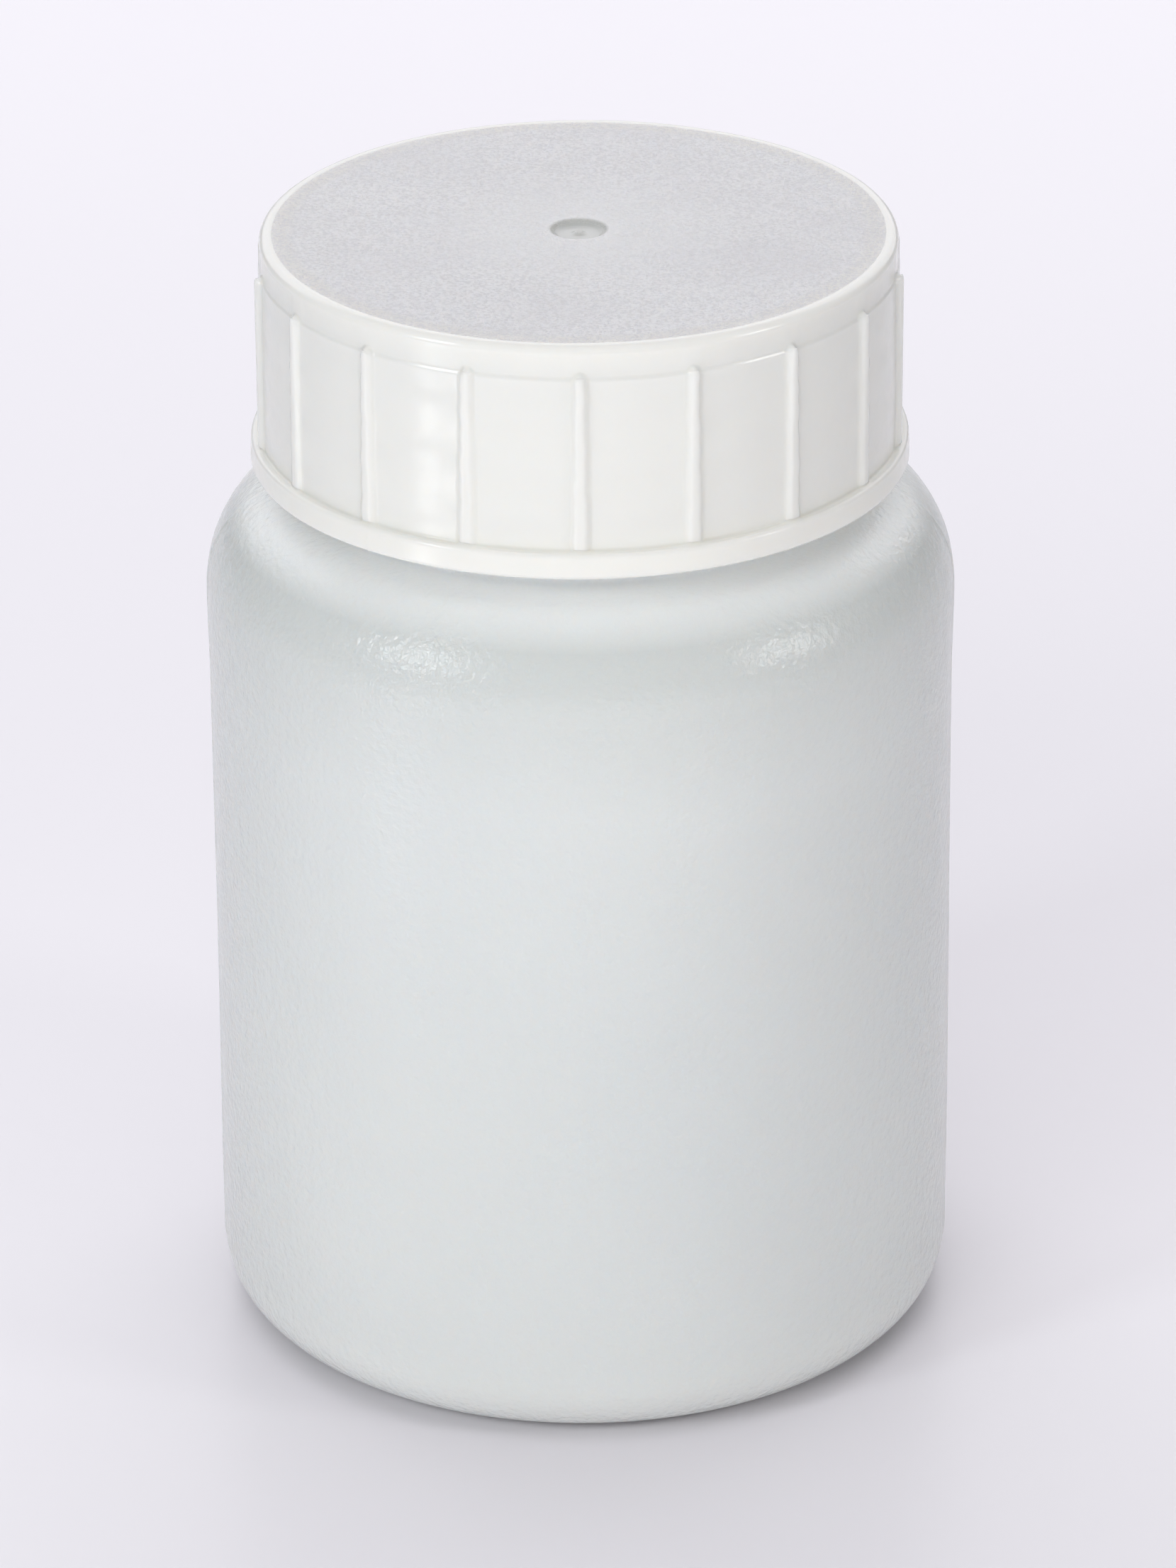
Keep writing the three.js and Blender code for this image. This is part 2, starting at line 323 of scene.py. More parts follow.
def turned(name, rows, theta, relief, material):
    """Turns an outline about Z and returns the object.

    Point (i, j) is at radius r_i and height z_i of row i, moved by relief[i, j] along the row's
    normal and turned to the column angle theta_j. The first and last rows are single points on
    the axis. Four neighbours make a face, and the two end rows close as fans.
    """
    normal = normals_of(rows)
    ring = rows[1:-1]
    moved_r = ring[:, :1] + relief[1:-1] * normal[1:-1, :1]
    moved_z = ring[:, 1:] + relief[1:-1] * normal[1:-1, 1:]
    body = np.stack((moved_r * np.cos(theta), moved_r * np.sin(theta), moved_z), axis=-1).reshape(-1, 3)
    ends = np.zeros((2, 3))
    ends[:, 2] = rows[[0, -1], 1] + relief[[0, -1], 0] * normal[[0, -1], 1]
    points = np.concatenate((body, ends))
    count, columns = len(ring), len(theta)
    here = np.arange(count * columns).reshape(count, columns)
    beside = np.roll(here, -1, axis=1)
    quads = np.stack((here[:-1], here[1:], beside[1:], beside[:-1]), axis=-1).reshape(-1, 4)
    top = np.column_stack((np.full(columns, len(body)), here[0], beside[0]))
    tail = np.column_stack((np.full(columns, len(body) + 1), beside[-1], here[-1]))
    loops = np.concatenate((quads.ravel(), top.ravel(), tail.ravel()))
    sizes = np.concatenate((np.full(len(quads), 4), np.full(2 * columns, 3)))
    mesh = bpy.data.meshes.new(name)
    mesh.vertices.add(len(points))
    mesh.vertices.foreach_set("co", points.ravel())
    mesh.loops.add(len(loops))
    mesh.loops.foreach_set("vertex_index", loops)
    mesh.polygons.add(len(sizes))
    mesh.polygons.foreach_set("loop_start", np.concatenate(([0], np.cumsum(sizes)[:-1])))
    mesh.update(calc_edges=True)
    mesh.validate()
    mesh.shade_smooth()
    mesh.materials.append(material)
    made = bpy.data.objects.new(name, mesh)
    bpy.context.scene.collection.objects.link(made)
    return made


def helix(theta, height, sizes, bottom, turns):
    """Height of a trapezoid thread, from 0 to its depth, at column angles and row heights.

    The thread's middle rises by one pitch in a turn. Every turn that passes a point is tried and
    the highest kept. Both ends fade into the wall.
    """
    first = np.mod(theta - sizes.start, 2 * math.pi) / (2 * math.pi)
    passes = first[None, None, :] + np.arange(math.ceil(turns) + 1)[:, None, None]
    middle = bottom + sizes.pitch * passes
    away = np.abs(height[None, :, None] - middle)
    section = 1.0 - np.clip((away - sizes.crest / 2) / ((sizes.root - sizes.crest) / 2), 0.0, 1.0)
    ends = ease(passes, 0.0, sizes.fade) * (1.0 - ease(passes, turns - sizes.fade, turns))
    return sizes.depth * (section * ends).max(axis=0)


def bump_line(theta, radius, middle, width):
    """A ridge of height 1 and the given width along the outline at column angle middle."""
    away = np.angle(np.exp(1j * (theta - middle)))[None, :] * radius[:, None]
    return np.exp(-((away / (width / 2)) ** 2))


def add(tree, kind, inputs=(), **settings):
    """One shader node. inputs maps a socket's name or index to a value or to the output that feeds it."""
    made = tree.nodes.new(kind)
    for key, value in settings.items():
        setattr(made, key, value)
    for key, value in dict(inputs).items():
        if isinstance(value, bpy.types.NodeSocket):
            tree.links.new(value, made.inputs[key])
        else:
            made.inputs[key].default_value = value
    return made


def use(tree, shared, inputs=()):
    """An instance of a node group. Returns its only output."""
    return add(tree, "ShaderNodeGroup", inputs, node_tree=shared).outputs[0]


def combine(tree, operation, first, second):
    """Two values put together by a maths operation."""
    return add(tree, "ShaderNodeMath", {0: first, 1: second}, operation=operation).outputs[0]


def ramp(tree, value, low, high, first=0.0, last=1.0):
    """A value carried in a straight line from low..high to first..last, and held past both ends."""
    return add(tree, "ShaderNodeMapRange", {0: value, 1: low, 2: high, 3: first, 4: last}).outputs[0]


def bump(tree, height, strength, distance, below=None):
    """A bump of the given height, on top of another bump if there is one below it."""
    made = add(tree, "ShaderNodeBump", {"Strength": strength, "Distance": distance, "Height": height})
    if below is not None:
        tree.links.new(below, made.inputs["Normal"])
    return made.outputs[0]


def mix(tree, factor, first, second):
    """Colour mix of two colours or outputs."""
    return add(tree, "ShaderNodeMix", {0: factor, 6: first, 7: second}, data_type="RGBA").outputs[2]


def shade(rgb, by=1.0):
    """A linear colour times a factor, with its alpha."""
    return tuple(min(1.0, c * by) for c in rgb) + (1.0,)


def group(name, ins, out):
    """A node group with value inputs (name, default) and one value output. Returns its tree and ends."""
    tree = bpy.data.node_groups.new(name, "ShaderNodeTree")
    for socket, default in ins:
        made = tree.interface.new_socket(socket, in_out="INPUT", socket_type="NodeSocketFloat")
        made.default_value = default
    tree.interface.new_socket(out, in_out="OUTPUT", socket_type="NodeSocketFloat")
    return tree, tree.nodes.new("NodeGroupInput"), tree.nodes.new("NodeGroupOutput")


def soft_noise(tree, size, detail, roughness):
    """Noise on Object coordinates whose features are size wide, as its value from 0 to 1."""
    place = add(tree, "ShaderNodeTexCoord").outputs["Object"]
    often = combine(tree, "DIVIDE", 1.0, size)
    settings = {"Vector": place, "Scale": often, "Detail": detail, "Roughness": roughness}
    return add(tree, "ShaderNodeTexNoise", settings).outputs["Fac"]


def moulded_skin():
    """Fine orange peel of a moulded plastic, as a height. Size is the width of one bump in metres."""
    if "Moulded skin" in bpy.data.node_groups:
        return bpy.data.node_groups["Moulded skin"]
    tree, start, end = group("Moulded skin", [("Size", 0.002)], "Height")
    tree.links.new(soft_noise(tree, start.outputs["Size"], 3.0, 0.5), end.inputs["Height"])
    return tree


def mottle():
    """Soft uneven tone of a plastic, from 0 to 1. Size is the width of one patch in metres."""
    if "Mottle" in bpy.data.node_groups:
        return bpy.data.node_groups["Mottle"]
    tree, start, end = group("Mottle", [("Size", 0.015)], "Value")
    noise = soft_noise(tree, start.outputs["Size"], 2.0, 0.45)
    tree.links.new(ramp(tree, noise, 0.3, 0.7), end.inputs["Value"])
    return tree


def specks():
    """Rare small dots in a plastic, as a mask. Amount is the part of the cells that hold one."""
    if "Specks" in bpy.data.node_groups:
        return bpy.data.node_groups["Specks"]
    tree, start, end = group("Specks", [("Amount", 0.02), ("Size", 0.0003)], "Mask")
    place = add(tree, "ShaderNodeTexCoord").outputs["Object"]
    cells = add(tree, "ShaderNodeTexVoronoi", {"Vector": place, "Scale": SPECK_CELLS})
    near = combine(tree, "MULTIPLY", start.outputs["Size"], SPECK_CELLS)
    dot = combine(tree, "LESS_THAN", cells.outputs["Distance"], near)
    pick = add(tree, "ShaderNodeSeparateColor", {"Color": cells.outputs["Color"]}).outputs[0]
    rare = combine(tree, "LESS_THAN", pick, start.outputs["Amount"])
    tree.links.new(combine(tree, "MULTIPLY", dot, rare), end.inputs["Mask"])
    return tree


def surface(name, **constants):
    """A new material. Returns it, its tree and its Principled shader, with constants set on the shader."""
    made = bpy.data.materials.new(name)
    made.use_nodes = True
    tree = made.node_tree
    shader = next(n for n in tree.nodes if n.type == "BSDF_PRINCIPLED")
    for key, value in constants.items():
        shader.inputs[key.replace("_", " ")].default_value = value
    return made, tree, shader


def bottle_plastic(finish, sizes):
    """Natural polyethylene: a milky, satin wall with a fine orange peel and faint vertical die lines.

    Its tone changes with height. It is plain on the side, with painted shade on the shoulder's curve, and a
    painted light and a faint painted glow at the root of the neck, which lift the shadow under the cap.
    """
    made, tree, shader = surface(
        "Natural polyethylene",
        IOR=1.54,
        Subsurface_Weight=1.0,
        Subsurface_Radius=(1.0, 0.85, 0.75),
        Subsurface_Scale=finish.bottle_milk,
        # Painted glow at the neck's root, with its colour set below.
        Emission_Strength=finish.root_glow,
    )
    place = add(tree, "ShaderNodeTexCoord").outputs["Object"]
    patch = use(tree, mottle(), {"Size": 0.030})
    up = add(tree, "ShaderNodeSeparateXYZ", {0: place}).outputs[2]
    root = sizes.shoulder_start + sizes.shoulder
    zones = (CURVE_SHADE, ROOT_LIGHT, NECK_TONE)
    curve, rise, fall = (ramp(tree, up, root + low, root + high) for low, high in zones)
    painted_root_light = combine(tree, "MULTIPLY", rise, fall)
    tone = mix(tree, patch, shade(finish.body, 0.985), shade(finish.body, 1.01))
    # Painted shade over the shoulder's curve.
    tone = mix(tree, combine(tree, "MULTIPLY", curve, fall), tone, shade(finish.shoulder_shade))
    # Painted light at the neck's root.
    tone = mix(tree, painted_root_light, tone, shade(finish.neck))
    # Painted glow: the root emits its pale colour.
    glow = mix(tree, painted_root_light, shade(finish.neck, 0.0), shade(finish.neck))
    tree.links.new(glow, shader.inputs["Emission Color"])
    dots = use(tree, specks(), {"Amount": 0.004, "Size": 0.00022})
    tree.links.new(mix(tree, dots, tone, shade(finish.speck, 1.6)), shader.inputs["Base Color"])
    tree.links.new(ramp(tree, patch, 0.0, 1.0, 0.20, 0.24), shader.inputs["Roughness"])
    drawn = add(tree, "ShaderNodeMapping", {"Vector": place, "Scale": DRAWN_DOWN}).outputs[0]
    lines = add(tree, "ShaderNodeTexNoise", {"Vector": drawn, "Scale": DIE_LINES, "Detail": 2.0})
    normal = bump(tree, lines.outputs["Fac"], 0.2, 0.00004)
    normal = bump(tree, use(tree, moulded_skin(), {"Size": 0.006}), 0.4, 0.0002, normal)
    normal = bump(tree, use(tree, moulded_skin(), {"Size": 0.0007}), 0.8, 0.00018, normal)
    tree.links.new(normal, shader.inputs["Normal"])
    return made


def cap_plastic(finish, sizes):
    """White polypropylene: glossy on the skirt and finely grained on the disc of the top.

    The disc has a painted lilac sheen, patchy and palest round the gate, that gives way to a warmer
    tone at its margin, and the gate's floor is darkened with painted shade.
    """
    made, tree, shader = surface(
        "White polypropylene",
        IOR=1.5,
        Subsurface_Weight=0.7,
        Subsurface_Radius=(1.0, 0.9, 0.8),
        Subsurface_Scale=finish.cap_milk,
    )
    place = add(tree, "ShaderNodeTexCoord").outputs["Object"]
    axes = add(tree, "ShaderNodeSeparateXYZ", {0: place})
    flat = add(tree, "ShaderNodeCombineXYZ", {0: axes.outputs[0], 1: axes.outputs[1]}).outputs[0]
    out = add(tree, "ShaderNodeVectorMath", {0: flat}, operation="LENGTH").outputs["Value"]
    inside = ramp(tree, out, sizes.grain, sizes.grain - 0.0001)
    high = ramp(tree, axes.outputs[2], sizes.top - 0.0004, sizes.top - 0.0002)
    grained = combine(tree, "MULTIPLY", inside, high)
    # Where the painted sheen of the top gives way to the warmer margin.
    margin = ramp(tree, out, *(sizes.grain - width for width in MARGIN_SHEEN_FADE))
    # Painted shade on the floor of the gate recess.
    recess_shade = ramp(tree, out, sizes.gate + 0.0001, sizes.gate - 0.0002)
    # Painted sheen, palest round the gate.
    centre = ramp(tree, out, 0.55 * sizes.grain, 0.0, 0.0, 0.75)
    patch = use(tree, mottle(), {"Size": 0.015})
    coarse = {"Vector": place, "Scale": GRAIN_SCALE, "Detail": 3.0, "Roughness": 0.6}
    grain = add(tree, "ShaderNodeTexNoise", coarse).outputs["Fac"]
    # Painted sheen: the top's bright lilac colour, in patches, warmer at the margin and palest at the
    # centre; the grain's speckle is the top's own.
    top = mix(tree, patch, shade(finish.cap_top_sheen, 0.9), shade(finish.cap_top_sheen, 1.02))
    top = mix(tree, margin, top, shade(finish.cap_edge))
    top = mix(tree, ramp(tree, grain, 0.38, 0.58), shade(finish.cap_top_sheen, 0.82), top)
    top = mix(tree, centre, top, shade(finish.cap_top_sheen, 1.03))
    tone = mix(tree, grained, shade(finish.cap), top)
    # Painted shade in the gate recess.
    tone = mix(tree, recess_shade, tone, shade(finish.gate))
    dots = use(tree, specks(), {"Amount": 0.006, "Size": 0.0002})
    tree.links.new(mix(tree, dots, tone, shade(finish.speck, 1.4)), shader.inputs["Base Color"])
    tree.links.new(ramp(tree, grained, 0.0, 1.0, 0.19, 0.36), shader.inputs["Roughness"])
    normal = bump(tree, use(tree, moulded_skin(), {"Size": 0.0025}), 0.35, 0.00012)
    normal = bump(tree, patch, grained, 0.001, normal)
    normal = bump(tree, grain, grained, 0.0004, normal)
    tree.links.new(normal, shader.inputs["Normal"])
    return made


def liner_plastic(finish):
    """Soft polyethylene: matt, with a faint felted grain."""
    made, tree, shader = surface(
        "Soft polyethylene",
        IOR=1.5,
        Subsurface_Weight=0.4,
        Subsurface_Radius=(1.0, 0.95, 0.9),
        Subsurface_Scale=finish.liner_milk,
    )
    patch = use(tree, mottle(), {"Size": 0.006})
    tone = mix(tree, patch, shade(finish.liner, 0.96), shade(finish.liner, 1.0))
    tree.links.new(tone, shader.inputs["Base Color"])
    tree.links.new(ramp(tree, patch, 0.0, 1.0, 0.6, 0.7), shader.inputs["Roughness"])
    normal = bump(tree, use(tree, moulded_skin(), {"Size": 0.0006}), 0.4, 0.00008)
    tree.links.new(normal, shader.inputs["Normal"])
    return made


class BOTTLE_OT_body(bpy.types.Operator):
    """Builds the blown bottle with its threaded neck"""

    bl_idname = "bottle.body"
    bl_label = "Bottle"

    def execute(self, context):
        s = context.scene.bottle_sizes
        thread = context.scene.thread_sizes
        inner = s.radius - s.panel_depth - s.wall
        inner_shoulder = s.shoulder - s.wall
        inner_heel = s.heel - s.wall
        bore_angle = math.degrees(math.acos((s.bore - inner + inner_shoulder) / inner_shoulder))
        neck_angle = math.degrees(math.acos((s.neck - s.radius + s.shoulder) / s.shoulder))
        ceiling = s.hollow + s.floor
        slope = s.stand - s.wall / 2
        recess = s.radius - s.panel_depth
        outline = np.concatenate(
            (
                line((0.0, ceiling), (slope - s.hollow_run, ceiling), 4),
                line((slope - s.hollow_run, ceiling), (slope, s.floor), 4),
                arc((inner - inner_heel, s.floor + inner_heel), inner_heel, -90, 0),
                arc((inner - inner_shoulder, s.shoulder_start), inner_shoulder, 0, bore_angle),
                line((s.bore, s.shoulder_start + s.shoulder), (s.bore, s.rim), 4),
                line((s.bore, s.rim), (s.neck, s.rim), 4),
                line((s.neck, s.rim), (s.neck, s.shoulder_start + s.shoulder), 4),
                arc((s.radius - s.shoulder, s.shoulder_start), s.shoulder, neck_angle, 0, 40),
                line((s.radius, s.shoulder_start), (s.radius, s.panel_top + s.panel_ease), 2),
                line((recess, s.panel_top), (recess, s.panel_bottom), 2),
                line((s.radius, s.panel_bottom - s.panel_ease), (s.radius, s.heel), 2),
                arc((s.radius - s.heel, s.heel), s.heel, 0, -90),
                line((s.stand, 0.0), (s.stand - s.hollow_run, s.hollow), 2),
                np.array(((s.stand - s.hollow_run, s.hollow), (0.0, s.hollow))),
            )
        )
        fine = soften(outline, *BOTTLE_CORNER)
        outside = np.arange(len(fine)) > np.argmax(fine[:, 1])
        root = s.shoulder_start + s.shoulder
        spacing = np.where(outside, BOTTLE_ROWS["side"], BOTTLE_ROWS["inside"])
        spacing = np.where(outside & (fine[:, 1] < s.heel), BOTTLE_ROWS["heel"], spacing)
        spacing = np.where(outside & (fine[:, 1] > s.shoulder_start), BOTTLE_ROWS["shoulder"], spacing)
        spacing = np.where(outside & (fine[:, 1] > root), BOTTLE_ROWS["neck"], spacing)
        spacing = np.where(fine[:, 1] > s.rim - 0.0012, BOTTLE_ROWS["rim"], spacing)
        rows = thin_out(fine, spacing)
        outer = np.arange(len(rows)) > np.argmax(rows[:, 1])
        side = outer & (rows[:, 1] > s.heel / 2)

        fan = np.linspace(-1.0, 1.0, 9) * 1.6 * s.seam_width / s.radius
        even = np.linspace(0.0, 2 * math.pi, s.columns, endpoint=False)
        theta = np.unique(np.mod(np.concatenate((even, s.seam_right + fan, s.seam_left + fan)), 2 * math.pi))

        height = rows[:, 1]
        neck = outer & (height > root)
        threaded = helix(theta, height, thread, thread.bottom + thread.lead, thread.neck_turns)
        relief = np.where(neck[:, None], threaded, 0.0)
        seams = bump_line(theta, rows[:, 0], s.seam_right, s.seam_width)
        seams = seams + bump_line(theta, rows[:, 0], s.seam_left, s.seam_width)
        relief += np.where(side[:, None], s.seam * seams, 0.0)
        body = ease(height, s.heel, 3 * s.heel) * (1 - ease(height, s.shoulder_start, root))
        # The blown wall wanders by three slow waves round it, each with its own rise up the side.
        tall = height[:, None] / s.shoulder_start
        swell = np.sin(2 * theta + 0.7) * np.sin(3.1 * tall + 0.4)
        swell += 0.6 * np.sin(3 * theta + 2.1) * np.sin(5.3 * tall)
        swell += 0.35 * np.sin(7 * theta - 1.2) * np.sin(7.7 * tall + 1.1)
        relief += s.wave * swell * body[:, None]
        across = np.abs(rows[:, :1] * np.sin(theta))
        along = np.abs(rows[:, :1] * np.cos(theta))
        weld = np.exp(-((across / WELD_WIDTH) ** 2)) * (1 - ease(along, *WELD_ENDS))
        under = outer & (height < s.heel) & (rows[:, 0] < s.stand - s.hollow_run)
        relief += np.where(under[:, None], WELD_HEIGHT * weld, 0.0)

        made = turned("bottle", rows, theta, relief, bottle_plastic(context.scene.finish, s))
        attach(made, "bottle")
        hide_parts("bottle_body")
        return {"FINISHED"}


class BOTTLE_OT_cap(bpy.types.Operator):
    """Builds the screw cap with its ribs, ring, gate and inside thread"""

    bl_idname = "bottle.cap"
    bl_label = "Screw cap"

    def execute(self, context):
        s = context.scene.cap_sizes
        thread = context.scene.thread_sizes
        ceiling = s.top - s.thickness
        floor = s.top - s.gate_depth
        land = s.gate + s.gate_land
        outline = np.concatenate(
            (
                line((0.0, floor + NUB), (NUB_SHOULDER[0], floor + NUB_SHOULDER[1]), 3),
                line((NUB_FOOT, floor), (s.gate - GATE_SLOPE, floor), 3),
                line((s.gate, s.top + LAND_RISE), (land - FINE, s.top + LAND_RISE), 3),
                line((land, s.top - LAND_GROOVE[1]), (land + LAND_GROOVE[0], s.top - LAND_GROOVE[1]), 2),
                line((land + 2 * FINE, s.top), (s.grain, s.top), 2),
                line((s.grain + FINE, s.top - DISC_GROOVE), (s.grain + 2 * FINE, s.top), 2),
                arc((s.band - s.edge, s.top - s.edge), s.edge, 90, 0),
                line((s.band, s.step_height + s.step), (s.band + s.step, s.step_height), 3),
                line((s.band + s.step, s.step_height), (s.low, s.ring_top + CHAMFER), 3),
                line((s.low - FINE, s.ring_top + 2 * FINE), (s.low - FINE, s.ring_top), 3),
                line((s.ring - CHAMFER, s.ring_top), (s.ring, s.ring_top - CHAMFER), 3),
                line((s.ring, s.bottom + CHAMFER), (s.ring - CHAMFER, s.bottom), 3),
                line((s.bore + CHAMFER, s.bottom), (s.bore, s.bottom + CHAMFER), 3),
                line((s.bore, ceiling), (0.0, ceiling), 3),
                np.array(((0.0, ceiling),)),
            )
        )
        fine = soften(outline, *CAP_CORNER)
        outside = np.arange(len(fine)) < np.argmin(fine[:, 1])
        r, z = fine[:, 0], fine[:, 1]
        skirt = outside & (z < s.top - s.edge)
        edge = outside & (r > s.grain - 0.0002) & (z > s.step_height - s.rib_narrow)
        wall = ~outside & (r > s.bore - 0.0004) & (z < ceiling - 0.0004)
        spacing = np.where(outside, CAP_ROWS["top"], CAP_ROWS["inside"])
        spacing = np.where(skirt, CAP_ROWS["skirt"], spacing)
        spacing = np.where(outside & (r < land + 0.0004), CAP_ROWS["gate"], spacing)
        spacing = np.where(edge, CAP_ROWS["edge"], spacing)
        spacing = np.where(outside & (z < s.ring_top + 0.0006), CAP_ROWS["ring"], spacing)
        spacing = np.where(wall, CAP_ROWS["thread"], spacing)
        rows = thin_out(fine, spacing)
        r, z = rows[:, 0], rows[:, 1]
        outer = np.arange(len(rows)) < np.argmin(z)
        skirt = outer & (z < s.top - s.edge)
        wall = ~outer & (r > s.bore - 0.0004) & (z < ceiling - 0.0004)

        apart = 2 * math.pi / s.ribs
        near = np.linspace(-1.0, 1.0, 13) * 0.8 * s.rib_wide / s.rib_tip
        gap = np.linspace(near[-1], apart + near[0], 7)[1:-1]
        cell = np.concatenate((near, gap))
        first = FRONT
        theta = (first + np.arange(s.ribs)[:, None] * apart + cell[None, :]).ravel()

        index = np.round((theta - first) / apart)
        off = (theta - first - index * apart)[None, :] * s.rib_tip
        # Two small waves make each rib's sides wander, differently from rib to rib.
        wobble = 0.00004 * np.sin(z[:, None] * 2600 + index * 2.3)
        wobble += 0.00003 * np.sin(z[:, None] * 1100 + index * 5.1)
        half = s.rib_wide + (s.rib_narrow - s.rib_wide) * (z - s.ring_top) / (s.rib_top - s.ring_top)
        half = half[:, None] / 2
        # At the rib's top end, its reach comes to the 1.15 at which the rib is gone.
        above = np.maximum(z[:, None] - s.rib_top + s.rib_slope, 0.0) * (0.575 * s.rib_narrow / s.rib_slope)
        reach = np.hypot(off + wobble, above) / half
        rib = (1 - ease(reach, 0.45, 1.15)) * (s.rib_tip - r[:, None])
        on_skirt = skirt & (z > s.ring_top - 0.0002) & (r < s.rib_tip)
        relief = np.where(on_skirt[:, None], np.maximum(rib, 0.0), 0.0)

        turns = np.mod(theta - thread.start, 2 * math.pi) / (2 * math.pi)
        phase = (z[:, None] - thread.bottom) / thread.pitch - turns
        marks = np.cos(2 * math.pi * phase) * ease(z, s.ring_top, s.ring_top + 0.002)[:, None]
        marks *= 1 - ease(z, s.step_height - 0.003, s.step_height)[:, None]
        sunk = 0.5 * s.sink * (1 + marks) * ease(np.abs(off), half, 2.5 * half)
        relief -= np.where(on_skirt[:, None], sunk, 0.0)
        relief += np.where(wall[:, None], helix(theta, z, thread, thread.bottom, thread.cap_turns), 0.0)
        ring = outer & (z < s.ring_top - 0.0003)
        relief += np.where(ring[:, None], WITNESS_HEIGHT * bump_line(theta, r, WITNESS_ANGLE, CHAMFER), 0.0)
        x, y = r[:, None] * np.cos(theta), r[:, None] * np.sin(theta)
        swell = np.sin(170 * x + 0.6) * np.sin(210 * y + 1.9) + 0.5 * np.sin(390 * x - 260 * y)
        disc = outer & (z > s.top - 0.0002)
        relief += np.where(disc[:, None], TOP_SWELL * swell * ease(r, land, 0.008)[:, None], 0.0)

        made = turned("cap", rows, theta, relief, cap_plastic(context.scene.finish, s))
        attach(made, "cap")
        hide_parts("screw_cap")
        return {"FINISHED"}


class BOTTLE_OT_liner(bpy.types.Operator):
    """Builds the soft sealing disc inside the cap"""

    bl_idname = "bottle.liner"
    bl_label = "Liner"

    def execute(self, context):
        s = context.scene.liner_sizes
        mouth = context.scene.bottle_sizes
        outline = np.array(((0.0, s.top), (s.radius, s.top), (s.radius, s.bottom), (0.0, s.bottom)))
        fine = soften(outline, *LINER_CORNER)
        spacing = np.where(fine[:, 0] > s.radius - 0.0008, LINER_ROWS["edge"], LINER_ROWS["face"])
        rows = thin_out(fine, spacing)
        theta = np.linspace(0.0, 2 * math.pi, s.columns, endpoint=False)
        below = rows[:, 1] < (s.top + s.bottom) / 2
        pressed = ease(rows[:, 0], mouth.bore - RIM_PRINT_EDGE, mouth.bore)
        pressed *= 1 - ease(rows[:, 0], mouth.neck, mouth.neck + RIM_PRINT_EDGE)
        relief = np.where(below, -RIM_PRINT * pressed, 0.0)[:, None] * np.ones(len(theta))
        made = turned("liner", rows, theta, relief, liner_plastic(context.scene.finish))
        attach(made, "liner")
        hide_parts("cap_liner")
        return {"FINISHED"}


def softbox(name, azimuth, elevation, distance, size, radiance, tint, target):
    """A rectangular lamp that faces target. Azimuth 0 is the front, and 90 degrees the right."""
    lamp = bpy.data.lights.new(name, "AREA")
    lamp.shape = "RECTANGLE"
    lamp.size, lamp.size_y = size
    lamp.energy = radiance * math.pi * size[0] * size[1]
    lamp.color = tint
    made = bpy.data.objects.new(name, lamp)
    a, e = math.radians(azimuth), math.radians(elevation)
    towards = Vector((math.sin(a) * math.cos(e), -math.cos(a) * math.cos(e), math.sin(e)))
    made.location = target + towards * distance
    made.rotation_euler = towards.to_track_quat("Z", "Y").to_euler()
    bpy.context.scene.collection.objects.link(made)
    return made


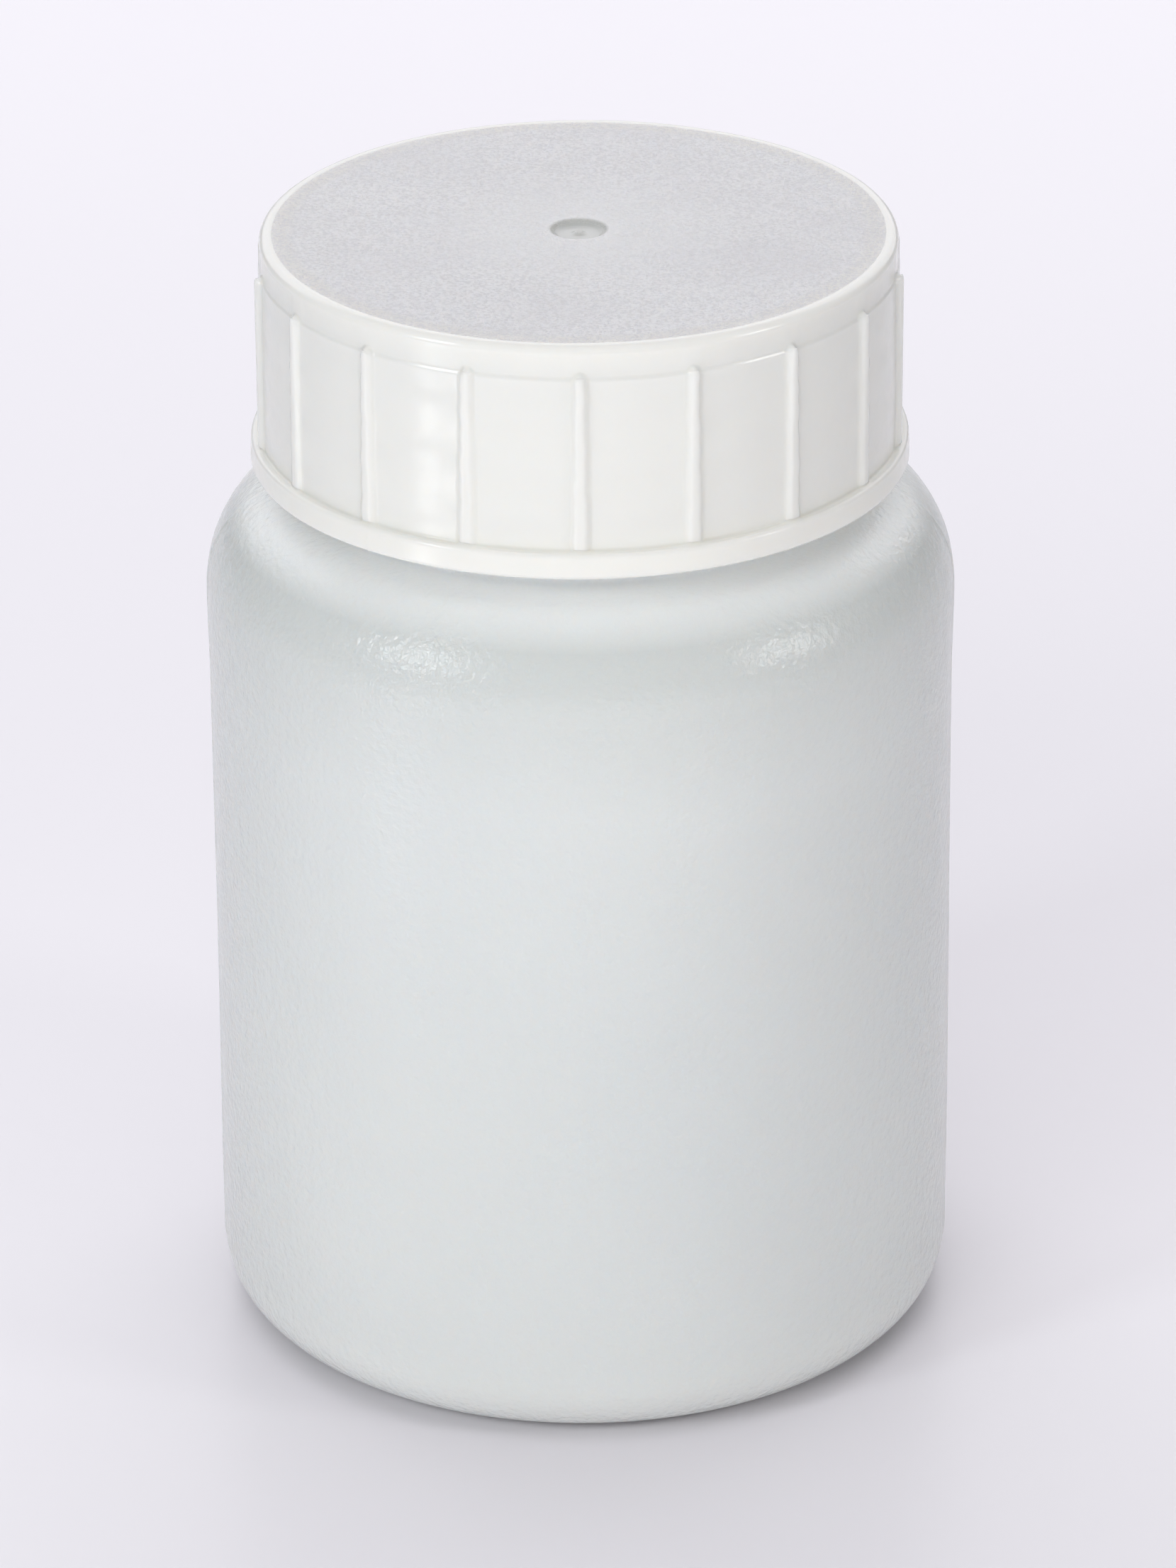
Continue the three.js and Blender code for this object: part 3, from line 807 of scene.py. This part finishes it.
class BOTTLE_OT_stage(bpy.types.Operator):
    """Sets up the floor, the soft studio light and the camera"""

    bl_idname = "bottle.stage"
    bl_label = "Stage"

    def execute(self, context):
        scene = context.scene
        s = scene.stage_sizes
        made, tree, shader = surface("Pale table", Roughness=0.3, IOR=1.35)
        patch = use(tree, mottle(), {"Size": 0.25})
        tree.links.new(mix(tree, patch, shade(s.floor, 0.995), shade(s.floor)), shader.inputs["Base Color"])
        half = s.floor_half
        mesh = bpy.data.meshes.new("floor")
        corners = [(-half, -half, 0.0), (half, -half, 0.0), (half, half, 0.0), (-half, half, 0.0)]
        mesh.from_pydata(corners, [], [(0, 1, 2, 3)])
        mesh.materials.append(made)
        table = bpy.data.objects.new("floor", mesh)
        scene.collection.objects.link(table)

        world = bpy.data.worlds.new("Studio")
        world.use_nodes = True
        sky = next(n for n in world.node_tree.nodes if n.type == "BACKGROUND")
        sky.inputs["Color"].default_value = shade(s.world)
        sky.inputs["Strength"].default_value = s.world_power
        scene.world = world

        middle = Vector((0.0, 0.0, 0.07))
        softbox("left lamp", -52, 25, 0.75, (0.13, 0.20), 11.6, (0.94, 0.99, 1.0), middle)
        softbox("right lamp", 66, 22, 0.75, (0.15, 0.12), 11.5, (1.0, 0.99, 0.96), middle)
        front = softbox("front lamp", -18, 33, 0.9, (0.6, 0.4), 2.7, (1.0, 0.99, 0.99), middle)
        low = softbox("low lamp", 8, 6, 0.9, (0.5, 0.25), 3.9, (1.0, 0.99, 0.99), middle)
        softbox("backdrop lamp", 180, 60, 0.45, (1.4, 0.8), 1.4, (0.98, 0.97, 1.0), Vector((0.0, 0.45, 0.0)))
        above = softbox("top lamp", 0, 88, 12.0, (12.0, 12.0), 1.6, (0.98, 0.97, 1.0), middle)
        softbox("card lamp", 0, -70, 0.3, (0.5, 0.2), 0.5, (1.0, 1.0, 0.98), Vector((0.0, -0.167, 0.322)))
        softbox("strip lamp", -51, 2, 0.17, (0.02, 0.035), 4.0, (1.0, 1.0, 1.0), Vector((0.0, 0.0, 0.025)))
        for fill in (front, low, above):
            fill.visible_glossy = False

        lens = bpy.data.cameras.new("camera")
        lens.sensor_width = 36.0
        lens.lens = s.lens
        lens.clip_start, lens.clip_end = 0.01, 60.0
        view = bpy.data.objects.new("camera", lens)
        view.location = s.camera
        ahead = Vector(s.target) - Vector(s.camera)
        view.rotation_mode = "QUATERNION"
        view.rotation_quaternion = ahead.to_track_quat("-Z", "Y") @ Quaternion((0.0, 0.0, 1.0), s.roll)
        scene.collection.objects.link(view)
        scene.camera = view
        scene.view_settings.view_transform = "Standard"
        return {"FINISHED"}


class BOTTLE_PT_panel(bpy.types.Panel):
    """Lists the build steps"""

    bl_label = "Reagent bottle"
    bl_space_type = "VIEW_3D"
    bl_region_type = "UI"
    bl_category = "Bottle"

    def draw(self, context):
        for step in STEPS:
            self.layout.operator(step.bl_idname)
        for name in GROUPS:
            box = self.layout.box()
            settings = getattr(context.scene, name)
            for field in settings.__annotations__:
                box.prop(settings, field)


STEPS = (BOTTLE_OT_body, BOTTLE_OT_cap, BOTTLE_OT_liner, BOTTLE_OT_stage)
GROUPS = {
    "thread_sizes": ThreadSizes,
    "bottle_sizes": BottleSizes,
    "cap_sizes": CapSizes,
    "liner_sizes": LinerSizes,
    "finish": Finish,
    "stage_sizes": StageSizes,
}


def register():
    for kind in (*GROUPS.values(), *STEPS, BOTTLE_PT_panel):
        bpy.utils.register_class(kind)
    for name, kind in GROUPS.items():
        setattr(bpy.types.Scene, name, PointerProperty(type=kind))


def unregister():
    for name in GROUPS:
        delattr(bpy.types.Scene, name)
    for kind in reversed((*GROUPS.values(), *STEPS, BOTTLE_PT_panel)):
        bpy.utils.unregister_class(kind)


def main():
    """Registers the classes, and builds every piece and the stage."""
    register()
    bpy.ops.bottle.body()
    bpy.ops.bottle.cap()
    bpy.ops.bottle.liner()
    bpy.ops.bottle.stage()


if __name__ == "__main__":
    main()
